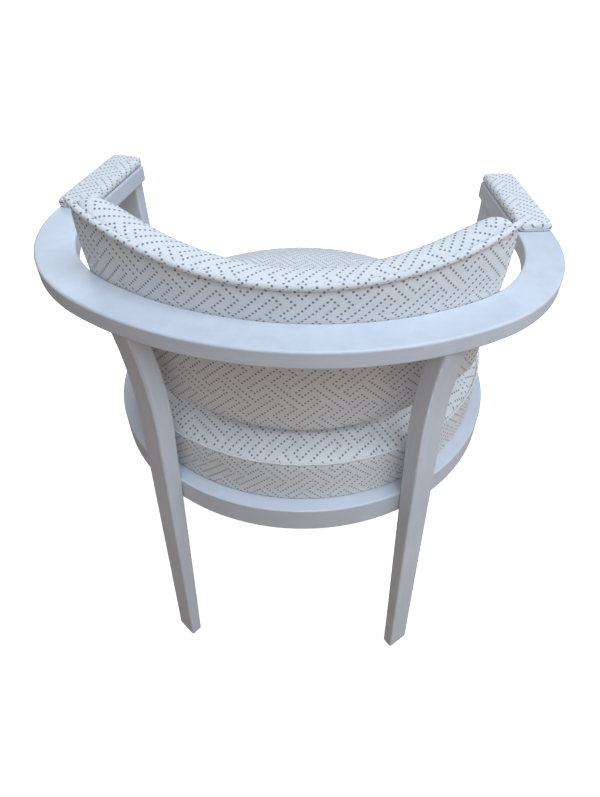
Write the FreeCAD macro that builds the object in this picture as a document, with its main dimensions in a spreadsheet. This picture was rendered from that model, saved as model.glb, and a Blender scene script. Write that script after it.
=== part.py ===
import FreeCAD
import Part
import Sketcher
import math
import os

from FreeCAD import Placement, Rotation, Vector

# Horseshoe-back accent chair: painted wooden frame, round upholstered seat, curved
# upholstered back inside a flat crest rail, padded arms. Millimetres, +Z up, the chair
# faces -Y and the origin is on the floor, midway between its front and its back.

doc = FreeCAD.newDocument("AccentChair")

SIZES = {
    # General values
    "overrun": 5.0,
    "soft_clearance": 0.3,
    "arris_round": 3.0,
    # Flat crest rail: one back arc and two tighter side arcs that run on as straight arms
    "crest_top": 653.0,
    "crest_thick": 22.0,
    "crest_width": 46.0,
    "side_radius": 200.0,
    "side_centre_across": 113.0,
    "side_centre_back": 59.0,
    "back_centre_forward": 112.0,
    "arm_toe_in_angle": 9.0,
    "arm_length": 154.0,
    "arm_nose_round": 5.0,
    # Round seat rail in four quarter segments
    "rail_radius": 280.0,
    "rail_width": 45.0,
    "rail_top": 387.0,
    "rail_height": 39.0,
    "rail_edge_round": 2.0,
    # Swept rear legs
    "leg_turn_angle": 40.0,
    "leg_offset": 27.5,
    "leg_face": 36.0,
    "leg_foot_reach": 319.0,
    "leg_foot_depth": 18.0,
    "leg_bend_height": 480.0,
    "leg_bend_depth": 24.0,
    "leg_cushion_gap": 3.5,
    "leg_top_setback": 1.3,
    "leg_top_depth": 22.0,
    # Straight front legs under the arm ends
    "front_leg_face": 36.0,
    "front_leg_depth": 22.0,
    "front_leg_setback": 15.0,
    "glide_height": 4.0,
    "glide_radius": 7.0,
    # Seat
    "board_setback": 24.0,
    "board_thick": 12.0,
    "cushion_setback": 18.5,
    "cushion_seam_height": 461.0,
    "cushion_side_bulge": 5.0,
    "cushion_seam_depth": 2.0,
    "cushion_roll_width": 36.0,
    "cushion_roll_height": 475.0,
    "cushion_roll_rise": 4.5,
    "cushion_crown": 8.0,
    "dust_cover_setback": 18.0,
    "dust_cover_thick": 1.0,
    # Raked upholstered back
    "back_rake_angle": 4.5,
    "back_bottom": 484.0,
    "back_top": 690.0,
    "back_end_angle": 45.0,
    "back_top_radius": 700.0,
    "back_bottom_radius": 500.0,
    "outside_thick": 5.0,
    "shell_thick": 10.0,
    "shell_bottom": 494.0,
    "shell_top": 678.0,
    "shell_end_angle": 41.0,
    "pocket_end_angle": 42.0,
    "welt_radius": 3.5,
    "welt_inset": 1.0,
    "welt_sink": 1.0,
    "pad_thick": 60.0,
    "pad_tip_angle": 46.0,
    "pad_edge_drop": 4.0,
    "pad_tip_drop": 4.0,
    "pad_crown": 11.0,
    "pad_bulge": 9.0,
    # Arm pads
    "arm_board_thick": 4.0,
    "arm_board_inset": 6.0,
    "arm_pad_inset": 0.5,
    "arm_pad_end_inset": 1.5,
    "arm_pad_side": 9.0,
    "arm_pad_crown": 3.0,
    "arm_pad_draw_in": 3.0,
    "arm_pad_end_length": 7.0,
    # Dowels and screws
    "dowel_radius": 4.0,
    "dowel_length": 40.0,
    "crest_dowel_spread": 12.0,
    "rail_dowel_edge": 11.0,
    "leg_dowel_radius": 5.0,
    "leg_dowel_in_leg": 18.0,
    "leg_dowel_in_crest": 12.0,
    "screw_head_radius": 4.2,
    "screw_head_height": 3.0,
    "screw_shank_radius": 2.2,
    "screw_proud": 0.8,
    "leg_screw_length": 54.0,
    "leg_screw_edge": 10.0,
    "seat_screw_edge": 11.0,
    "seat_screw_in_board": 9.0,
    "back_screw_in_crest": 22.0,
    "back_screw_angle": 14.0,
    "arm_screw_in_board": 3.0,
    "arm_screw_rear": 34.0,
    "arm_screw_front": 100.0,
}

# Slices of the back pad and of its welt, from the middle to a tip: along the back arc, then the side arc
PAD_BACK_SHARES = (0.2, 0.4, 0.6, 0.8, 1.0)
PAD_SIDE_SHARES = (1.0,)
PAD_THICK_SHARES = (1.0, 0.99, 0.97, 0.94, 0.9, 0.83, 0.55)
WELT_BACK_SHARES = (0.1, 0.2, 0.3, 0.4, 0.5, 0.6, 0.7, 0.8, 0.9, 1.0)
WELT_SIDE_SHARES = (0.35, 0.7, 1.0)

TOLERANCE = 0.01
UP = Vector(0, 0, 1)
ALONG_Y = Vector(0, 1, 0)
LEFT = 1
RIGHT = -1

sheet = doc.addObject("Spreadsheet::Sheet", "Sizes")
for row, (alias, number) in enumerate(SIZES.items(), start=1):
    sheet.set(f"A{row}", alias.replace("_", " "))
    sheet.set(f"B{row}", str(number))
    sheet.setAlias(f"B{row}", alias)
doc.recompute()


class Size:
    """A size with its number and the text that ties it to the sheet."""

    def __init__(self, number, text):
        self.number = number
        self.text = text

    def __add__(self, other):
        return Size(self.number + other.number, f"({self.text} + {other.text})")

    def __sub__(self, other):
        return Size(self.number - other.number, f"({self.text} - {other.text})")

    def __neg__(self):
        return Size(-self.number, f"(-1 * {self.text})")

    def __mul__(self, other):
        return Size(self.number * other.number, f"({self.text} * {other.text})")

    def __truediv__(self, count):
        return Size(self.number / count, f"({self.text} / {count})")

    def times(self, sign):
        return self if sign > 0 else -self


def size(alias):
    return Size(SIZES[alias], "Sizes." + alias)


def turn(degrees):
    return Size(float(degrees), str(degrees))


def part_of(share):
    return Size(share, str(share))


def sine(angle):
    return Size(math.sin(math.radians(angle.number)), f"sin({angle.text} * 1 deg)")


def cosine(angle):
    return Size(math.cos(math.radians(angle.number)), f"cos({angle.text} * 1 deg)")


def tangent(angle):
    return Size(math.tan(math.radians(angle.number)), f"tan({angle.text} * 1 deg)")


def arctangent(across, along):
    number = math.degrees(math.atan2(across.number, along.number))
    return Size(number, f"(atan({across.text} / {along.text}) / 1 deg)")


def long_side(first, second):
    number = math.hypot(first.number, second.number)
    return Size(number, f"sqrt({first.text} ^ 2 + {second.text} ^ 2)")


def short_side(longest, other):
    number = math.sqrt(longest.number ** 2 - other.number ** 2)
    return Size(number, f"sqrt({longest.text} ^ 2 - {other.text} ^ 2)")


ZERO = Size(0.0, "0")
QUARTER = turn(90)
HALF = turn(180)
FULL = turn(360)

# Values that several pieces share
crest_under = size("crest_top") - size("crest_thick")
back_radius = size("side_radius") + long_side(
    size("side_centre_across"), size("side_centre_back") + size("back_centre_forward"))
joint_turn = arctangent(
    size("side_centre_across"), size("side_centre_back") + size("back_centre_forward"))
seat_y = (size("rail_radius") + size("back_centre_forward") - back_radius) / 2
back_y = seat_y - size("back_centre_forward")
side_y = seat_y + size("side_centre_back")
rail_bottom = size("rail_top") - size("rail_height")
rail_middle = size("rail_radius") - size("rail_width") / 2
board_radius = size("rail_radius") - size("board_setback")
cushion_radius = size("rail_radius") - size("cushion_setback")
leg_bend_reach = (cushion_radius + size("cushion_side_bulge") + size("leg_cushion_gap")
                  + size("leg_bend_depth"))
leg_sine, leg_cosine = sine(size("leg_turn_angle")), cosine(size("leg_turn_angle"))
leg_beside_bow = (size("leg_offset") + size("side_centre_across") * leg_cosine
                  - size("side_centre_back") * leg_sine)
leg_top_reach = (size("side_centre_across") * leg_sine + size("side_centre_back") * leg_cosine
                 + short_side(size("side_radius"), leg_beside_bow) - size("leg_top_setback"))


def bind(obj, **sizes):
    for name, value in sizes.items():
        setattr(obj, name, value.number)
        obj.setExpression(name, value.text)


def place(obj, x, y, z, bearing=ZERO):
    obj.Placement = Placement(Vector(x.number, y.number, z.number), Rotation(UP, bearing.number))
    obj.setExpression("Placement.Base.x", x.text)
    obj.setExpression("Placement.Base.y", y.text)
    obj.setExpression("Placement.Base.z", z.text)
    obj.setExpression("Placement.Rotation.Angle", bearing.text)
    return obj


def aim_level(obj, x, y, z, bearing):
    """Lay an object that stands along Z on its side, pointing along a bearing."""
    place(obj, x, y, z)
    obj.setExpression("Placement.Rotation.Angle", None)
    level = Rotation(UP, bearing.number) * Rotation(ALONG_Y, QUARTER.number)
    obj.Placement = Placement(Vector(x.number, y.number, z.number), level)
    return obj


def cylinder(name, radius, height, sweep=FULL):
    obj = doc.addObject("Part::Cylinder", name)
    bind(obj, Radius=radius, Height=height, Angle=sweep)
    return obj


def cone(name, low_radius, high_radius, height, sweep=FULL):
    obj = doc.addObject("Part::Cone", name)
    bind(obj, Radius1=low_radius, Radius2=high_radius, Height=height, Angle=sweep)
    return obj


def block(name, length, width, height):
    obj = doc.addObject("Part::Box", name)
    bind(obj, Length=length, Width=width, Height=height)
    return obj


def cut(name, base, tool):
    obj = doc.addObject("Part::Cut", name)
    obj.Base = base
    obj.Tool = tool
    return obj


def fuse(name, members):
    obj = doc.addObject("Part::MultiFuse", name)
    obj.Shapes = members
    obj.Refine = True
    return obj


def group(name, members):
    obj = doc.addObject("Part::Compound", name)
    obj.Links = members
    return obj


def round_edges(name, base, radius, wanted):
    doc.recompute()
    edges = [index for index, edge in enumerate(base.Shape.Edges, start=1) if wanted(edge)]
    obj = doc.addObject("Part::Fillet", name)
    obj.Base = base
    obj.Edges = [(index, radius.number, radius.number) for index in edges]
    return obj


def is_level(edge):
    return edge.BoundBox.ZLength < TOLERANCE


def is_upright(edge):
    return edge.BoundBox.ZLength > edge.Length - TOLERANCE


def origin_plane(body, role):
    return next(feature for feature in body.Origin.OriginFeatures if feature.Role == role)


def new_sketch(body, name, role):
    sketch = body.newObject("Sketcher::SketchObject", name)
    sketch.AttachmentSupport = (origin_plane(body, role), [""])
    sketch.MapMode = "FlatFace"
    return sketch


def bowed(start, end, rise):
    """Three-point arc from start to end whose middle stands off the chord by rise, to its left."""
    chord = end - start
    left = Vector(-chord.y, chord.x, 0)
    left.normalize()
    return Part.Arc(start, start + chord / 2 + left * rise, end)


def outline(sketch, corners, bows):
    """Closed profile through corners of named sizes; a bow gives an edge its radius and side."""
    points = [Vector(x.number, y.number, 0) for x, y in corners]
    ends = []
    for index, start in enumerate(points):
        end = points[(index + 1) % len(points)]
        if index in bows:
            radius, side = bows[index]
            half = (end - start).Length / 2
            rise = radius.number - math.sqrt(radius.number ** 2 - half ** 2)
            number = sketch.addGeometry(bowed(start, end, rise * side), False)
        else:
            number = sketch.addGeometry(Part.LineSegment(start, end), False)
        first = 1 if (sketch.getPoint(number, 1) - start).Length < TOLERANCE else 2
        ends.append((number, first, 3 - first))
    for index, (number, first, last) in enumerate(ends):
        following = ends[(index + 1) % len(ends)]
        sketch.addConstraint(Sketcher.Constraint("Coincident", number, last, following[0], following[1]))
    for (x, y), (number, first, last) in zip(corners, ends):
        pin(sketch, "DistanceX", number, first, x)
        pin(sketch, "DistanceY", number, first, y)
    for index, (radius, side) in bows.items():
        datum = sketch.addConstraint(Sketcher.Constraint("Radius", ends[index][0], radius.number))
        sketch.setExpression(f"Constraints[{datum}]", radius.text)


def bow_radius(chord, rise):
    """Radius of an arc that stands off its chord by a rise at the middle."""
    half = chord / 2
    ratio = Size(half.number / rise.number, f"({half.text} / {rise.text})")
    return (half * ratio + rise) / 2


def pin(sketch, kind, number, point, value):
    """Hold one coordinate of a sketch point at a named size, or on the axis when it is zero."""
    if value is ZERO:
        axis = -2 if kind == "DistanceX" else -1
        sketch.addConstraint(Sketcher.Constraint("PointOnObject", number, point, axis))
        return
    datum = sketch.addConstraint(Sketcher.Constraint(kind, -1, 1, number, point, value.number))
    sketch.setExpression(f"Constraints[{datum}]", value.text)


def new_body(name):
    return doc.addObject("PartDesign::Body", name)


def both_sides_pad(body, sketch, length):
    pad = body.newObject("PartDesign::Pad", body.Name + "Pad")
    pad.Profile = sketch
    pad.SideType = "Symmetric"
    bind(pad, Length=length)
    return pad


def round_body(body, base, radius, wanted):
    doc.recompute()
    names = [f"Edge{i}" for i, edge in enumerate(base.Shape.Edges, start=1) if wanted(edge)]
    fillet = body.newObject("PartDesign::Fillet", body.Name + "Round")
    fillet.Base = (base, names)
    bind(fillet, Radius=radius)
    return fillet


def arm_point(side, out, along):
    """Plan place beside an arm: out from its side centre, along from the end of its arc."""
    toe = size("arm_toe_in_angle")
    x = size("side_centre_across") + out * cosine(toe) - along * sine(toe)
    y = side_y - out * sine(toe) - along * cosine(toe)
    return x.times(side), y


def arm_bearing(side):
    return -size("arm_toe_in_angle") if side == LEFT else HALF + size("arm_toe_in_angle")


def leg_bearing(side):
    return QUARTER - size("leg_turn_angle").times(side)


def leg_point(side, reach):
    """Plan place on the middle plane of a rear leg, at a reach from the chair's axis."""
    x = reach * leg_sine - size("leg_offset") * leg_cosine
    y = seat_y + reach * leg_cosine + size("leg_offset") * leg_sine
    return x.times(side), y


def ring_point(centre_y, radius, bearing):
    return radius * cosine(bearing), centre_y + radius * sine(bearing)


arm_middle = size("side_radius") - size("crest_width") / 2
front_leg_along = size("arm_length") - size("front_leg_setback")


# Fasteners and dowels
def screw(name, length):
    head = cone(name + "Head", size("screw_head_radius"), size("screw_shank_radius"),
                size("screw_head_height"))
    shank = cylinder(name + "Shank", size("screw_shank_radius"), length)
    return fuse(name, [head, shank])


def leg_dowels():
    length = size("leg_dowel_in_leg") + size("leg_dowel_in_crest")
    low = crest_under - size("leg_dowel_in_leg")
    rear_reach = leg_top_reach - size("leg_top_depth") / 2
    pegs = []
    for side in (LEFT, RIGHT):
        x, y = leg_point(side, rear_reach)
        pegs.append(place(cylinder("RearLegDowel", size("leg_dowel_radius"), length), x, y, low))
        x, y = arm_point(side, arm_middle, front_leg_along)
        pegs.append(place(cylinder("FrontLegDowel", size("leg_dowel_radius"), length), x, y, low))
    return group("LegDowels", pegs)


def crest_dowels():
    height = crest_under + size("crest_thick") / 2
    half = size("dowel_length") / 2
    middle = back_radius - size("crest_width") / 2
    pegs = []
    for side in (LEFT, RIGHT):
        bearing = QUARTER - joint_turn.times(side)
        for spread in (size("crest_dowel_spread"), -size("crest_dowel_spread")):
            x, y = ring_point(back_y, middle + spread, bearing)
            peg = cylinder("CrestDowel", size("dowel_radius"), size("dowel_length"))
            aim_level(peg, x + half * sine(bearing), y - half * cosine(bearing), height,
                      bearing + QUARTER)
            pegs.append(peg)
    return group("CrestDowels", pegs)


def rail_dowels():
    half = size("dowel_length") / 2
    heights = (rail_bottom + size("rail_dowel_edge"), size("rail_top") - size("rail_dowel_edge"))
    pegs = []
    for quarter in range(4):
        bearing = turn(45 + 90 * quarter)
        x, y = ring_point(seat_y, rail_middle, bearing)
        for height in heights:
            peg = cylinder("RailDowel", size("dowel_radius"), size("dowel_length"))
            aim_level(peg, x + half * sine(bearing), y - half * cosine(bearing), height,
                      bearing + QUARTER)
            pegs.append(peg)
    return group("RailDowels", pegs)


def leg_screws():
    inside = size("rail_radius") - size("rail_width")
    heights = (rail_bottom + size("leg_screw_edge"), size("rail_top") - size("leg_screw_edge"))
    rear_start = short_side(inside, size("leg_offset")) - size("screw_proud")
    front_x, front_y = arm_point(LEFT, arm_middle, front_leg_along)
    front_back = front_y - seat_y
    start = inside - size("screw_proud")
    dip = arctangent(front_back, front_x)
    pins = []
    for side in (LEFT, RIGHT):
        front_bearing = dip if side == LEFT else HALF - dip
        for height in heights:
            x, y = leg_point(side, rear_start)
            pins.append(aim_level(screw("RearLegScrew", size("leg_screw_length")), x, y, height,
                                  leg_bearing(side)))
            x, y = ring_point(seat_y, start, front_bearing)
            pins.append(aim_level(screw("FrontLegScrew", size("leg_screw_length")), x, y, height,
                                  front_bearing))
    return group("LegScrews", pins)


def seat_screws():
    length = size("rail_height") + size("seat_screw_in_board")
    reach = size("rail_radius") - size("rail_width") + size("seat_screw_edge")
    pins = []
    for quarter in range(4):
        x, y = ring_point(seat_y, reach, turn(90 * quarter))
        pins.append(place(screw("SeatScrew", length), x, y, rail_bottom))
    return group("SeatScrews", pins)


def back_screws():
    height = crest_under + size("crest_thick") / 2
    depth = size("outside_thick") + size("shell_thick")
    lean = (size("crest_thick") / 2) * tangent(size("back_rake_angle"))
    start = back_radius - size("crest_width") - depth - lean - size("screw_proud")
    length = depth + lean + size("screw_proud") + size("back_screw_in_crest")
    pins = []
    for step in (-1, 0, 1):
        bearing = QUARTER + size("back_screw_angle") * turn(step)
        x, y = ring_point(back_y, start, bearing)
        pins.append(aim_level(screw("BackScrew", length), x, y, height, bearing))
    return group("BackScrews", pins)


def arm_screws():
    length = size("crest_thick") + size("arm_screw_in_board")
    pins = []
    for side in (LEFT, RIGHT):
        for along in (size("arm_screw_rear"), size("arm_screw_front")):
            x, y = arm_point(side, arm_middle, along)
            pins.append(place(screw("ArmScrew", length), x, y, crest_under))
    return group("ArmScrews", pins)


# Legs
def rear_leg(name, side):
    body = new_body(name)
    sketch = new_sketch(body, name + "Side", "XZ_Plane")
    foot, bend, top = size("leg_foot_reach"), leg_bend_reach, leg_top_reach
    corners = [
        (foot, size("glide_height")),
        (bend, size("leg_bend_height")),
        (top, crest_under),
        (top - size("leg_top_depth"), crest_under),
        (bend - size("leg_bend_depth"), size("leg_bend_height")),
        (foot - size("leg_foot_depth"), size("glide_height")),
    ]
    swept_outline(sketch, corners)
    pad = both_sides_pad(body, sketch, size("leg_face"))
    round_body(body, pad, size("arris_round"), lambda edge: edge.BoundBox.ZLength > size("leg_face").number)
    x, y = leg_point(side, ZERO)
    return place(body, x, y, ZERO, leg_bearing(side))


def swept_outline(sketch, corners):
    """Leg side view: straight shin, then an arc on each face that leaves the shin smoothly."""
    points = [Vector(x.number, y.number, 0) for x, y in corners]
    shapes = [
        Part.LineSegment(points[0], points[1]),
        smooth_arc(points[0], points[1], points[2]),
        Part.LineSegment(points[2], points[3]),
        smooth_arc(points[5], points[4], points[3]),
        Part.LineSegment(points[4], points[5]),
        Part.LineSegment(points[5], points[0]),
    ]
    numbers = [sketch.addGeometry(shape, False) for shape in shapes]

    def end_at(number, point):
        return 1 if (sketch.getPoint(number, 1) - point).Length < TOLERANCE else 2

    for index, point in enumerate(points):
        before, after = numbers[index - 1], numbers[index]
        kind = "Tangent" if index in (1, 4) else "Coincident"
        sketch.addConstraint(Sketcher.Constraint(
            kind, before, end_at(before, point), after, end_at(after, point)))
    for index, (x, y) in enumerate(corners):
        pin(sketch, "DistanceX", numbers[index], end_at(numbers[index], points[index]), x)
        pin(sketch, "DistanceY", numbers[index], end_at(numbers[index], points[index]), y)


def smooth_arc(before, start, end):
    """Arc from start to end that leaves start in the direction it was reached from before."""
    heading = start - before
    chord = end - start
    swing = math.atan2(chord.y, chord.x) - math.atan2(heading.y, heading.x)
    rise = chord.Length / 2 * math.tan(swing / 2)
    return bowed(start, end, -rise)


def front_leg(name, side):
    body = new_body(name)
    sketch = new_sketch(body, name + "Section", "XY_Plane")
    face, depth = size("front_leg_face"), size("front_leg_depth")
    corners = [(ZERO, ZERO), (face, ZERO), (face, depth), (ZERO, depth)]
    outline(sketch, corners, {})
    pad = body.newObject("PartDesign::Pad", name + "Pad")
    pad.Profile = sketch
    bind(pad, Length=crest_under - size("glide_height"))
    round_body(body, pad, size("arris_round"), is_upright)
    x, y = arm_point(side, arm_middle - face / 2, front_leg_along + (depth / 2).times(side))
    place(body, x, y, size("glide_height"), arm_bearing(side))
    return body


def foot_glides():
    height, radius = size("glide_height"), size("glide_radius")
    rear_reach = size("leg_foot_reach") - size("leg_foot_depth") / 2
    discs = []
    for side in (LEFT, RIGHT):
        x, y = leg_point(side, rear_reach)
        discs.append(place(cylinder("RearGlide", radius, height), x, y, ZERO))
        x, y = arm_point(side, arm_middle, front_leg_along)
        discs.append(place(cylinder("FrontGlide", radius, height), x, y, ZERO))
    return group("Glides", discs)


# Crest rail
def on_joint(edge, side):
    bearing = math.radians(QUARTER.number - joint_turn.number * side)
    across = Vector(-math.sin(bearing), math.cos(bearing), 0)
    centre = Vector(0, back_y.number, 0)
    return all(abs((vertex.Point - centre).dot(across)) < TOLERANCE for vertex in edge.Vertexes)


def crest_back():
    thick, centre_y = size("crest_thick"), back_y
    outer = cylinder("CrestBackOuter", back_radius, thick, joint_turn + joint_turn)
    place(outer, ZERO, centre_y, crest_under, QUARTER - joint_turn)
    inner = cylinder("CrestBackInner", back_radius - size("crest_width"),
                     thick + size("overrun") + size("overrun"))
    place(inner, ZERO, centre_y, crest_under - size("overrun"))
    band = cut("CrestBackBand", outer, inner)
    return round_edges("CrestBackRounded", band, size("arris_round"),
                       lambda edge: is_level(edge) and not on_joint(edge, LEFT) and not on_joint(edge, RIGHT))


def crest_arm(name, side):
    thick, width, radius = size("crest_thick"), size("crest_width"), size("side_radius")
    centre_x, centre_y = size("side_centre_across").times(side), side_y
    sweep = QUARTER - joint_turn + size("arm_toe_in_angle")
    start = arm_bearing(LEFT) if side == LEFT else QUARTER + joint_turn
    outer = place(cylinder(name + "Outer", radius, thick, sweep), centre_x, centre_y, crest_under, start)
    inner = cylinder(name + "Inner", radius - width, thick + size("overrun") + size("overrun"))
    place(inner, centre_x, centre_y, crest_under - size("overrun"))
    bow = cut(name + "Bow", outer, inner)
    arm = block(name + "Straight", width, size("arm_length"), thick)
    along = size("arm_length") if side == LEFT else ZERO
    x, y = arm_point(side, radius - width, along)
    place(arm, x, y, crest_under, arm_bearing(side))
    whole = fuse(name + "Whole", [bow, arm])
    nose_y = arm_point(side, radius, size("arm_length") - size("front_leg_setback"))[1].number
    nosed = round_edges(name + "Nosed", whole, size("arm_nose_round"),
                        lambda edge: is_upright(edge) and edge.CenterOfMass.y < nose_y)
    return round_edges(name + "Rounded", nosed, size("arris_round"),
                       lambda edge: is_level(edge) and not on_joint(edge, side))


# Seat frame and seat
def rail_segment(name, quarter):
    height, radius = size("rail_height"), size("rail_radius")
    outer = cylinder(name + "Outer", radius, height, QUARTER)
    place(outer, ZERO, seat_y, rail_bottom, turn(90 * quarter - 45))
    inner = cylinder(name + "Inner", radius - size("rail_width"), height + size("overrun") + size("overrun"))
    place(inner, ZERO, seat_y, rail_bottom - size("overrun"))
    band = cut(name + "Band", outer, inner)
    return round_edges(name + "Rounded", band, size("rail_edge_round"),
                       lambda edge: is_level(edge) and edge.Length > SIZES["rail_width"] + TOLERANCE)


def seat_cushion():
    body = new_body("SeatCushion")
    sketch = new_sketch(body, "SeatCushionHalf", "XZ_Plane")
    board_top = size("rail_top") + size("board_thick") + size("soft_clearance")
    hollow = board_radius + size("soft_clearance")
    edge, seam, nip = cushion_radius, size("cushion_seam_height"), size("cushion_seam_depth")
    roll, roll_height = edge - size("cushion_roll_width"), size("cushion_roll_height")
    corners = [
        (ZERO, board_top),
        (hollow, board_top),
        (hollow, size("rail_top")),
        (edge, size("rail_top")),
        (edge, seam - nip),
        (edge - nip, seam),
        (edge, seam + nip),
        (roll, roll_height),
        (ZERO, roll_height + size("cushion_crown")),
    ]
    roll_chord = long_side(size("cushion_roll_width"), roll_height - seam - nip)
    bows = {
        3: (bow_radius(seam - nip - size("rail_top"), size("cushion_side_bulge")), -1),
        6: (bow_radius(roll_chord, size("cushion_roll_rise")), -1),
        7: (bow_radius(roll + roll, size("cushion_crown")), -1),
    }
    outline(sketch, corners, bows)
    turned = body.newObject("PartDesign::Revolution", "SeatCushionTurned")
    turned.Profile = sketch
    turned.ReferenceAxis = (sketch, ["V_Axis"])
    bind(turned, Angle=FULL)
    return place(body, ZERO, seat_y, ZERO)


# Raked back: every layer is set in from the inner edge of the crest rail and leans with the rake
def raked_radius(base, inset, height):
    lean = (size("crest_top") - height) * tangent(size("back_rake_angle"))
    return base - size("crest_width") - inset - lean


def raked_sector(name, base, centre, low, high, near, far, sweep, start):
    """Leaning curved slab between two insets, swept about a centre."""
    height = high - low
    over = size("overrun")
    outer = cone(name + "Outer", raked_radius(base, near, low), raked_radius(base, near, high), height, sweep)
    place(outer, centre[0], centre[1], low, start)
    inner = cone(name + "Inner", raked_radius(base, far, low - over), raked_radius(base, far, high + over),
                 height + over + over)
    place(inner, centre[0], centre[1], low - over)
    return cut(name, outer, inner)


def raked_band(name, low, high, near, far, end_turn):
    sweep = end_turn - joint_turn
    back_centre = (ZERO, back_y)
    left_centre = (size("side_centre_across"), side_y)
    right_centre = (-size("side_centre_across"), side_y)
    sectors = [
        raked_sector(name + "Back", back_radius, back_centre, low, high, near, far,
                     joint_turn + joint_turn, QUARTER - joint_turn),
        raked_sector(name + "Left", size("side_radius"), left_centre, low, high, near, far,
                     sweep, QUARTER - end_turn),
        raked_sector(name + "Right", size("side_radius"), right_centre, low, high, near, far,
                     sweep, QUARTER + joint_turn),
    ]
    return fuse(name, sectors)


def rise_at(radius, across):
    """Height that a dished edge gains at a distance from the middle of the back."""
    return radius - short_side(radius, across)


def level_cylinder(name, radius, low):
    """Wide cylinder that lies from front to back and rests at a height."""
    over = size("overrun")
    drum = cylinder(name, radius, back_radius + back_radius + over)
    return aim_level(drum, ZERO, back_y - back_radius - over, low + radius, QUARTER)


def crescent(name, band, low, high):
    """Keep what a band has between two dished edges that rest at a low and a high line."""
    kept = doc.addObject("Part::Common", name + "Kept")
    kept.Base = band
    kept.Tool = level_cylinder(name + "Low", size("back_bottom_radius"), low)
    return cut(name, kept, level_cylinder(name + "High", size("back_top_radius"), high))


tallest_rise = rise_at(size("back_top_radius"), size("side_centre_across") + size("side_radius"))


def outside_back():
    band = raked_band("OutsidePanel", size("back_bottom"), size("back_top") + tallest_rise, ZERO,
                      size("outside_thick"), size("back_end_angle"))
    return crescent("OutsideCrescent", band, size("back_bottom"), size("back_top"))


def back_shell():
    far = size("outside_thick") + size("shell_thick")
    band = raked_band("ShellPanel", size("shell_bottom"), size("shell_top") + tallest_rise,
                      size("outside_thick"), far, size("shell_end_angle"))
    return crescent("ShellCrescent", band, size("shell_bottom"), size("shell_top"))


def back_stations(tip, back_shares, side_shares):
    """Arc, centre, bearing and place in its half of each slice, from the left tip to the right tip."""
    half = [(back_radius, ZERO, back_y, joint_turn * part_of(share)) for share in back_shares]
    half += [(size("side_radius"), size("side_centre_across"), side_y,
              joint_turn + (tip - joint_turn) * part_of(share)) for share in side_shares]
    stations = [(back_radius, (ZERO, back_y), QUARTER, 0)]
    for place_in_half, (base, across, y, swing) in enumerate(half, start=1):
        for side in (LEFT, RIGHT):
            slice_at = (base, (across.times(side), y), QUARTER - swing.times(side), place_in_half)
            stations.insert(0 if side == LEFT else len(stations), slice_at)
    return stations


def edge_lines(base, centre, bearing):
    """Heights of the dished lower and upper edges where a slice crosses them."""
    across = centre[0] + (base - size("crest_width")) * cosine(bearing)
    low = size("back_bottom") + rise_at(size("back_bottom_radius"), across)
    return low, size("back_top") + rise_at(size("back_top_radius"), across)


def upright_sketch(body, name, centre, bearing):
    """Sketch on the upright plane that leaves a centre along a bearing."""
    sketch = new_sketch(body, name, "XZ_Plane")
    sketch.AttachmentOffset = Placement(Vector(centre[0].number, 0, -centre[1].number),
                                        Rotation(ALONG_Y, bearing.number))
    sketch.setExpression("AttachmentOffset.Base.x", centre[0].text)
    sketch.setExpression("AttachmentOffset.Base.z", (-centre[1]).text)
    sketch.setExpression("AttachmentOffset.Rotation.Angle", bearing.text)
    return sketch


def loft_through(body, sketches):
    doc.recompute()
    loft = body.newObject("PartDesign::AdditiveLoft", body.Name + "Loft")
    loft.Profile = sketches[0]
    loft.Sections = sketches[1:]
    return loft


def back_welt():
    body = new_body("BackWelt")
    stations = back_stations(size("back_end_angle"), WELT_BACK_SHARES, WELT_SIDE_SHARES)
    slices = []
    for index, (base, centre, bearing, place_in_half) in enumerate(stations):
        sketch = upright_sketch(body, f"WeltSlice{index}", centre, bearing)
        height = edge_lines(base, centre, bearing)[1]
        reach = raked_radius(base, size("welt_inset"), height)
        middle = height + size("welt_radius") - size("welt_sink")
        ring = Part.Circle(Vector(reach.number, middle.number, 0), UP, size("welt_radius").number)
        number = sketch.addGeometry(ring, False)
        pin(sketch, "DistanceX", number, 3, reach)
        pin(sketch, "DistanceY", number, 3, middle)
        datum = sketch.addConstraint(Sketcher.Constraint("Radius", number, size("welt_radius").number))
        sketch.setExpression(f"Constraints[{datum}]", size("welt_radius").text)
        slices.append(sketch)
    loft_through(body, slices).Ruled = True
    return body


def pad_section(body, name, base, centre, bearing, thick, drop):
    """Upright slice of the back pad, from the panel's rear: crowned top and bulging front."""
    sketch = upright_sketch(body, name, centre, bearing)
    deep = size("outside_thick") + size("soft_clearance") + thick
    low_line, high_line = edge_lines(base, centre, bearing)
    low, high = low_line + drop, high_line - drop
    low_rear, high_rear = raked_radius(base, ZERO, low), raked_radius(base, ZERO, high)
    corners = [
        (low_rear, low),
        (high_rear, high),
        (high_rear - deep, high - size("pad_edge_drop")),
        (low_rear - deep, low + size("pad_edge_drop")),
    ]
    bows = {
        1: (bow_radius(deep, size("pad_crown")), -1),
        2: (bow_radius(high - low, size("pad_bulge")), -1),
    }
    outline(sketch, corners, bows)
    return sketch


def back_pad_loft():
    body = new_body("BackPad")
    stations = back_stations(size("pad_tip_angle"), PAD_BACK_SHARES, PAD_SIDE_SHARES)
    slices = []
    for index, (base, centre, bearing, place_in_half) in enumerate(stations):
        thick = size("pad_thick") * part_of(PAD_THICK_SHARES[place_in_half])
        drop = size("pad_tip_drop") if place_in_half > len(PAD_BACK_SHARES) else ZERO
        slices.append(pad_section(body, f"PadSlice{index}", base, centre, bearing, thick, drop))
    loft_through(body, slices)
    return body


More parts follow.
